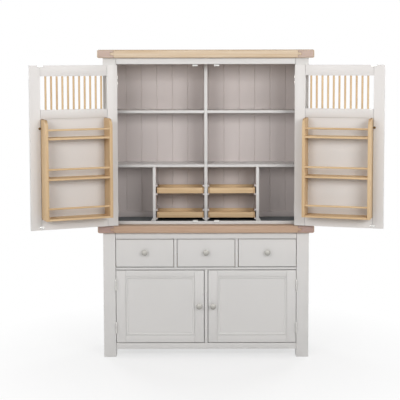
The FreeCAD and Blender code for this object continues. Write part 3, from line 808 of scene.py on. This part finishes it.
# %% Door fittings
UPPER_KNOB_HEIGHT = 1434 * MM
UPPER_KNOB_FROM_EDGE = 58 * MM
BASE_KNOB_HEIGHT = 321 * MM
BASE_KNOB_X = 43 * MM
UPPER_HINGE_HEIGHTS = (927 * MM, 1707 * MM)
BASE_HINGE_HEIGHTS = (186 * MM, 451.5 * MM)
HINGE_HALF = 35 * MM
KNUCKLE_RADIUS = 4.2 * MM
KNUCKLE_GAP = 0.2 * MM
LEAF_THICK = 1.05 * MM
LEAF_SETBACK = 0.1 * MM
DOOR_GAP = 2.5 * MM
CATCH_X = 66 * MM
CATCH_HALF = 16 * MM
CATCH_TALL = 12 * MM
STRIKE_THICK = 2 * MM
STRIKE_SETDOWN = 1 * MM
STRIKE_SCREW_X = 10 * MM
catch_low, catch_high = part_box("magnetic_catches")


def hinge_leaf(name, axis_x, axis_y, hand, back, z_middle, swing):
    """The door's leaf: hand is 1 where the door lies to the right of its hinge."""
    bottom = z_middle - HINGE_HALF
    top = z_middle + HINGE_HALF
    door_edge = axis_x + hand * DOOR_GAP / 2
    plate_x = sorted((door_edge, door_edge - hand * LEAF_THICK))
    bpy.ops.object.select_all(action="DESELECT")
    bpy.ops.mesh.primitive_cylinder_add(
        vertices=32,
        radius=KNUCKLE_RADIUS,
        depth=top - z_middle - KNUCKLE_GAP,
        location=(axis_x, axis_y, (top + z_middle + KNUCKLE_GAP) / 2),
    )
    knuckle = bpy.context.object
    bpy.ops.object.transform_apply(location=True, rotation=True, scale=True)
    round_edges(knuckle, 0.6 * MM)
    plate = board(
        name,
        Vector((plate_x[0], axis_y, z_middle + KNUCKLE_GAP)),
        Vector((plate_x[1], back, top)),
        0.2 * MM,
        nickel,
        "pewter",
    )
    lower = board(
        name + "_lower",
        Vector((plate_x[0], CASE_FRONT + LEAF_SETBACK, bottom)),
        Vector((plate_x[1], back, z_middle + KNUCKLE_GAP)),
        0.2 * MM,
        nickel,
        "pewter",
    )
    select_only(plate)
    knuckle.select_set(True)
    lower.select_set(True)
    bpy.ops.object.join()
    finish(plate, nickel)
    plate.data.transform(swing)
    return plate


def strike_plate(name, x, y, z_low, swing, body):
    """A plate on the back of a closed door, which is then swung with it."""
    plate = board(
        name,
        Vector((x - CATCH_HALF, y, z_low)),
        Vector((x + CATCH_HALF, y + STRIKE_THICK, z_low + CATCH_TALL)),
        0.5 * MM,
        nickel,
        "pewter",
    )
    plate.data.transform(swing)
    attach(plate, body)
    return plate


def dress_door(body, hand, knob_place, hinge_name, heights, back, swing):
    """Knob and hinge leaves of a door. All of them stand for its node of fittings."""
    centre = Vector(joint(hinge_name)["pos_m"])
    pieces = [placed(knob_pattern, body + "_knob", knob_place, swing, body, pewter)]
    for number, height in enumerate(heights, 1):
        leaf = hinge_leaf(
            f"{body}_hinge_leaf_{number}", centre.x, centre.y, hand, back, height, swing
        )
        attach(leaf, body)
        pieces.append(leaf)
    return pieces


for side, hand in (("left", 1), ("right", -1)):
    body = side + "_base_door"
    place = Vector((-hand * BASE_KNOB_X, CASE_FRONT + FRONT_SETBACK, BASE_KNOB_HEIGHT))
    back = CASE_FRONT + FRONT_SETBACK + FRONT_THICK
    fittings = dress_door(body, hand, place, body + "_hinge", BASE_HINGE_HEIGHTS, back, STILL)
    for piece in fittings:
        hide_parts(body + "_fittings")

    body = side + "_upper_door"
    swing = SWINGS[side]
    door_low, door_high = closed_box(body + "_frame", swing)
    free_edge = door_high.x if hand == 1 else door_low.x
    knob_x = free_edge - hand * UPPER_KNOB_FROM_EDGE
    place = Vector((knob_x, door_low.y, UPPER_KNOB_HEIGHT))
    back = door_high.y
    fittings = dress_door(body, hand, place, body + "_hinge", UPPER_HINGE_HEIGHTS, back, swing)
    upper_z = door_high.z - STRIKE_SETDOWN - CATCH_TALL
    for end, z_low in (("lower", catch_low.z), ("upper", upper_z)):
        name = f"{body}_{end}_strike"
        fittings.append(strike_plate(name, -hand * CATCH_X, back, z_low, swing, body))
        for number, offset in enumerate((-STRIKE_SCREW_X, STRIKE_SCREW_X), 1):
            face = Vector((offset - hand * CATCH_X, back + STRIKE_THICK, z_low + CATCH_TALL / 2))
            placed(
                plate_screw_pattern, f"{name}_screw_{number}", face, swing, body, nickel,
                inwards=True,
            )
    for piece in fittings:
        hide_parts(body + "_fittings")
    placed(
        screw_pattern, body + "_knob_screw", Vector((knob_x, back, UPPER_KNOB_HEIGHT)),
        swing, body, old_brass, inwards=True,
    )
    print(body, "carries", len(fittings), "fittings")

# %% [markdown]
# ## Magnetic catches
#
# Four small white catches hold the upper doors at their meeting edges. Each is a moulded
# case with rounded corners. Its front has a shallow pocket, made by an inset and an
# extrusion inwards, where two thin steel pole pieces stand, one above the other.

# %% Catches
CATCH_ROUND = 2.6 * MM
POCKET_RIM = 2.2 * MM
POCKET_DEPTH = 2 * MM
POLE_HALF = 10 * MM
POLE_THICK = 1.4 * MM
POLE_LIFT = 1.6 * MM


def catch(name, x, z_low):
    """The case of a catch and its two pole pieces."""
    case = board(
        name,
        Vector((x - CATCH_HALF, catch_low.y, z_low)),
        Vector((x + CATCH_HALF, catch_high.y, z_low + CATCH_TALL)),
        CATCH_ROUND,
        white_abs,
        "catch_plastic",
    )
    select_only(case)
    faces_where(case.data, lambda centre, normal: normal.y < -0.99)
    bpy.ops.mesh.inset(thickness=POCKET_RIM, depth=0)
    bpy.ops.mesh.extrude_region_move(TRANSFORM_OT_translate={"value": (0, POCKET_DEPTH, 0)})
    bpy.ops.object.mode_set(mode="OBJECT")
    middle = z_low + CATCH_TALL / 2
    poles = []
    for number, z in enumerate((middle - POLE_LIFT, middle + POLE_LIFT), 1):
        pole = board(
            f"{name}_pole_{number}",
            Vector((x - POLE_HALF, catch_low.y + 0.2 * MM, z - POLE_THICK / 2)),
            Vector((x + POLE_HALF, catch_low.y + POCKET_DEPTH + 0.5 * MM, z + POLE_THICK / 2)),
            0.2 * MM,
            nickel,
            "pewter",
        )
        poles.append(pole)
    return [case, *poles]


catch_heights = (catch_low.z, catch_high.z - CATCH_TALL)
for number, (x, z) in enumerate([(x, z) for x in (-CATCH_X, CATCH_X) for z in catch_heights], 1):
    for piece in catch(f"catch_{number}", x, z):
        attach(piece, "case")
        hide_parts("magnetic_catches")
print(number, "catches")

for pattern in (knob_pattern, screw_pattern, plate_screw_pattern):
    bpy.data.objects.remove(pattern)

# %% [markdown]
# ## Floor, background and light
#
# The hutch stands on a plain white floor in a white room. What the camera and shiny metal
# see of the room is set to white through Light Path, so the lamps can stay at a plain level
# where each colour renders about as it is written. Near the hutch a part of the floor's own
# shading is mixed in, so that its shadow stays.
#
# Two wide soft lights stand in front, left and right of the camera, and light the fronts
# evenly. Weaker ones at the sides and above draw the edges. The last four stand behind the
# plane of the fronts: they show nothing to this camera, but the ends and the back of the
# hutch look right too.

# %% Floor
FLOOR_SIZE = 30.0
FLOOR_SHADOW = 0.35
FADE_FROM = 0.5
FADE_TO = 1.6
bpy.ops.object.select_all(action="DESELECT")
bpy.ops.mesh.primitive_plane_add(size=FLOOR_SIZE, location=(0, 0, -0.5 * MM))
floor = bpy.context.object
floor.name = "studio_floor"
floor_paint, tree, shader = new_material("white_studio_floor")
shader.inputs["Base Color"].default_value = linear("#EDEDED")
shader.inputs["Roughness"].default_value = 0.9
shader.inputs["Specular IOR Level"].default_value = 0.1
path = add(tree, "LightPath")
seen = add(
    tree,
    "Math",
    {0: path.outputs["Is Camera Ray"], 1: path.outputs["Is Glossy Ray"]},
    operation="MAXIMUM",
)
place = add(tree, "TexCoord").outputs["Object"]
away = add(tree, "VectorMath", {0: place}, operation="LENGTH")
plain = add(
    tree,
    "MapRange",
    {
        "Value": away.outputs["Value"],
        "From Min": FADE_FROM,
        "From Max": FADE_TO,
        "To Min": 1 - FLOOR_SHADOW,
        "To Max": 1.0,
    },
)
amount = add(
    tree, "Math", {0: seen.outputs["Value"], 1: plain.outputs["Result"]}, operation="MULTIPLY"
)
white = add(tree, "Emission", {"Color": (1, 1, 1, 1), "Strength": 1.0})
mix = add(
    tree,
    "MixShader",
    {0: amount.outputs["Value"], 1: shader.outputs["BSDF"], 2: white.outputs["Emission"]},
)
tree.links.new(mix.outputs["Shader"], tree.nodes["Material Output"].inputs["Surface"])
floor.data.materials.append(floor_paint)
floor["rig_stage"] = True
print("floor", FLOOR_SIZE, "m wide")

# %% World
WORLD_LEVEL = 0.02
world = bpy.data.worlds.new("white_room")
bpy.context.scene.world = world
world.use_nodes = True
tree = world.node_tree
path = add(tree, "LightPath")
glossy = add(
    tree,
    "Math",
    {0: path.outputs["Is Glossy Ray"], 1: path.outputs["Is Transmission Ray"]},
    operation="MAXIMUM",
)
seen = add(
    tree,
    "Math",
    {0: path.outputs["Is Camera Ray"], 1: glossy.outputs["Value"]},
    operation="MAXIMUM",
)
level = add(
    tree,
    "MapRange",
    {"Value": seen.outputs["Value"], "To Min": WORLD_LEVEL, "To Max": 1.0},
)
background = tree.nodes["Background"]
background.inputs["Color"].default_value = (1, 1, 1, 1)
tree.links.new(level.outputs["Result"], background.inputs["Strength"])
print("world at a level of", WORLD_LEVEL)


# %% Lamps
def soft_light(name, place, aim, width, height, watts):
    """A rectangular lamp that looks at a point and that the camera doesn't see."""
    lamp = bpy.data.lights.new(name, "AREA")
    lamp.shape = "RECTANGLE"
    lamp.size = width
    lamp.size_y = height
    lamp.energy = watts
    lamp_object = bpy.data.objects.new(name, lamp)
    bpy.context.collection.objects.link(lamp_object)
    lamp_object.location = place
    direction = Vector(aim) - Vector(place)
    lamp_object.rotation_euler = direction.to_track_quat("-Z", "Y").to_euler()
    lamp_object.visible_camera = False


soft_light("left_front_softbox", (-2.15, -4.3, 2.6), (0, 0, 2.0), 2.2, 1.6, 80)
soft_light("right_front_softbox", (2.4, -4.15, 2.6), (0, 0, 2.0), 2.2, 1.6, 104)
soft_light("left_side_softbox", (-4.2, -2.0, 2.2), (0, 0, 1.1), 1.6, 1.8, 32)
soft_light("right_side_softbox", (4.2, -2.0, 2.2), (0, 0, 1.1), 1.6, 1.8, 14)
soft_light("top_softbox", (0, -1.0, 2.9), (0, 0, 1.1), 2.4, 0.8, 8)
for side, hand in (("left", -1), ("right", 1)):
    soft_light(side + "_end_softbox", (hand * 4.4, 1.2, 2.2), (0, 0.1, 1.1), 1.6, 1.8, 45)
    soft_light(side + "_back_softbox", (hand * 2.6, 4.2, 2.8), (0, 0, 1.1), 1.6, 1.4, 90)
print(len(bpy.data.lights), "lamps")

# %% [markdown]
# ## Camera
#
# The camera stands well back and a little below the hutch's top, so its front is seen almost
# square on: the underside of the top is just hidden and the worktop just shows. It looks
# down a few degrees, and a small shift keeps the upright edges nearly upright.

# %% Camera
EYE = Vector((0, -6600, 1858)) * MM
PITCH = math.radians(4.5)
ROLL = math.radians(-0.1)
IMAGE = 400
FOCAL_PIXELS = 1082.0
PRINCIPAL = (205.85, 141.5)
SENSOR = 36.0
camera_data = bpy.data.cameras.new("camera")
camera_data.sensor_width = SENSOR
camera_data.lens = FOCAL_PIXELS * SENSOR / IMAGE
camera_data.shift_x = (IMAGE / 2 - PRINCIPAL[0]) / IMAGE
camera_data.shift_y = (PRINCIPAL[1] - IMAGE / 2) / IMAGE
camera = bpy.data.objects.new("camera", camera_data)
bpy.context.collection.objects.link(camera)
camera.location = EYE
look = Matrix.Rotation(math.pi / 2 - PITCH, 4, "X") @ Matrix.Rotation(ROLL, 4, "Z")
camera.rotation_euler = look.to_euler()
bpy.context.scene.camera = camera
bpy.context.scene.view_settings.view_transform = "Standard"
print("camera with a lens of", round(camera_data.lens, 1), "mm")

# %% Sizes, and the end
visual_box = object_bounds()
boxes = {
    "cad": [list(corner) for corner in cad_box],
    "visual": [list(corner) for corner in visual_box],
}
for name, box in boxes.items():
    print(name, [[round(c, 4) for c in corner] for corner in box])
